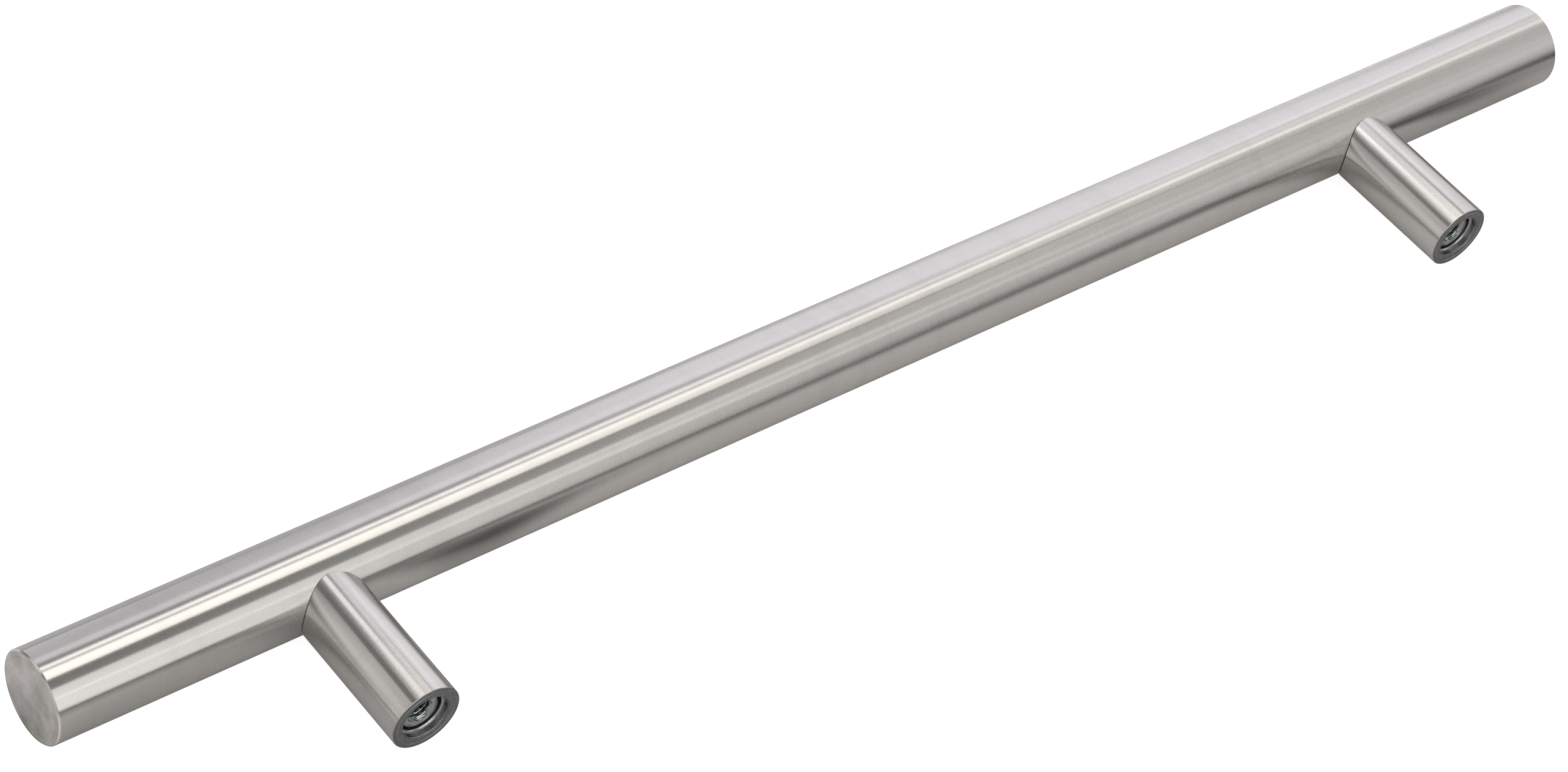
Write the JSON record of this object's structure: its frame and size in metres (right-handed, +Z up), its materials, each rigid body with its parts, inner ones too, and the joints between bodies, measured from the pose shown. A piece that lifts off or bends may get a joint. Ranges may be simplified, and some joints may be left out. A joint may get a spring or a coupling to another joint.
{
  "type": "door pull handle",
  "caption": "Straight round bar pull handle on two round legs, with a tapped screw hole set back in the foot of each leg.",
  "frame": {"origin": "midway between the two legs, on the plane of their foot faces, which is the face of the door", "axes": "+X along the bar, +Y into the door and away from the hand, +Z up as the handle lies on its side"},
  "size_m": [0.288, 0.0358, 0.014],
  "materials": {
    "satin_steel": "satin-brushed stainless steel, fine grain round the tube",
    "turned_steel": "machined steel, dark and grainy",
    "zinc_plated_steel": "bright bluish zinc plating on turned steel"
  },
  "bodies": {
    "root": {"bar_tube": "satin_steel", "end_plug_left": "satin_steel", "end_plug_right": "satin_steel", "bar_nut_left": "turned_steel", "bar_nut_right": "turned_steel", "leg_tube_left": "satin_steel", "leg_tube_right": "satin_steel", "leg_core_left": "turned_steel", "leg_core_right": "turned_steel", "leg_bolt_left": "zinc_plated_steel", "leg_bolt_right": "zinc_plated_steel"}
  },
  "joints": []
}
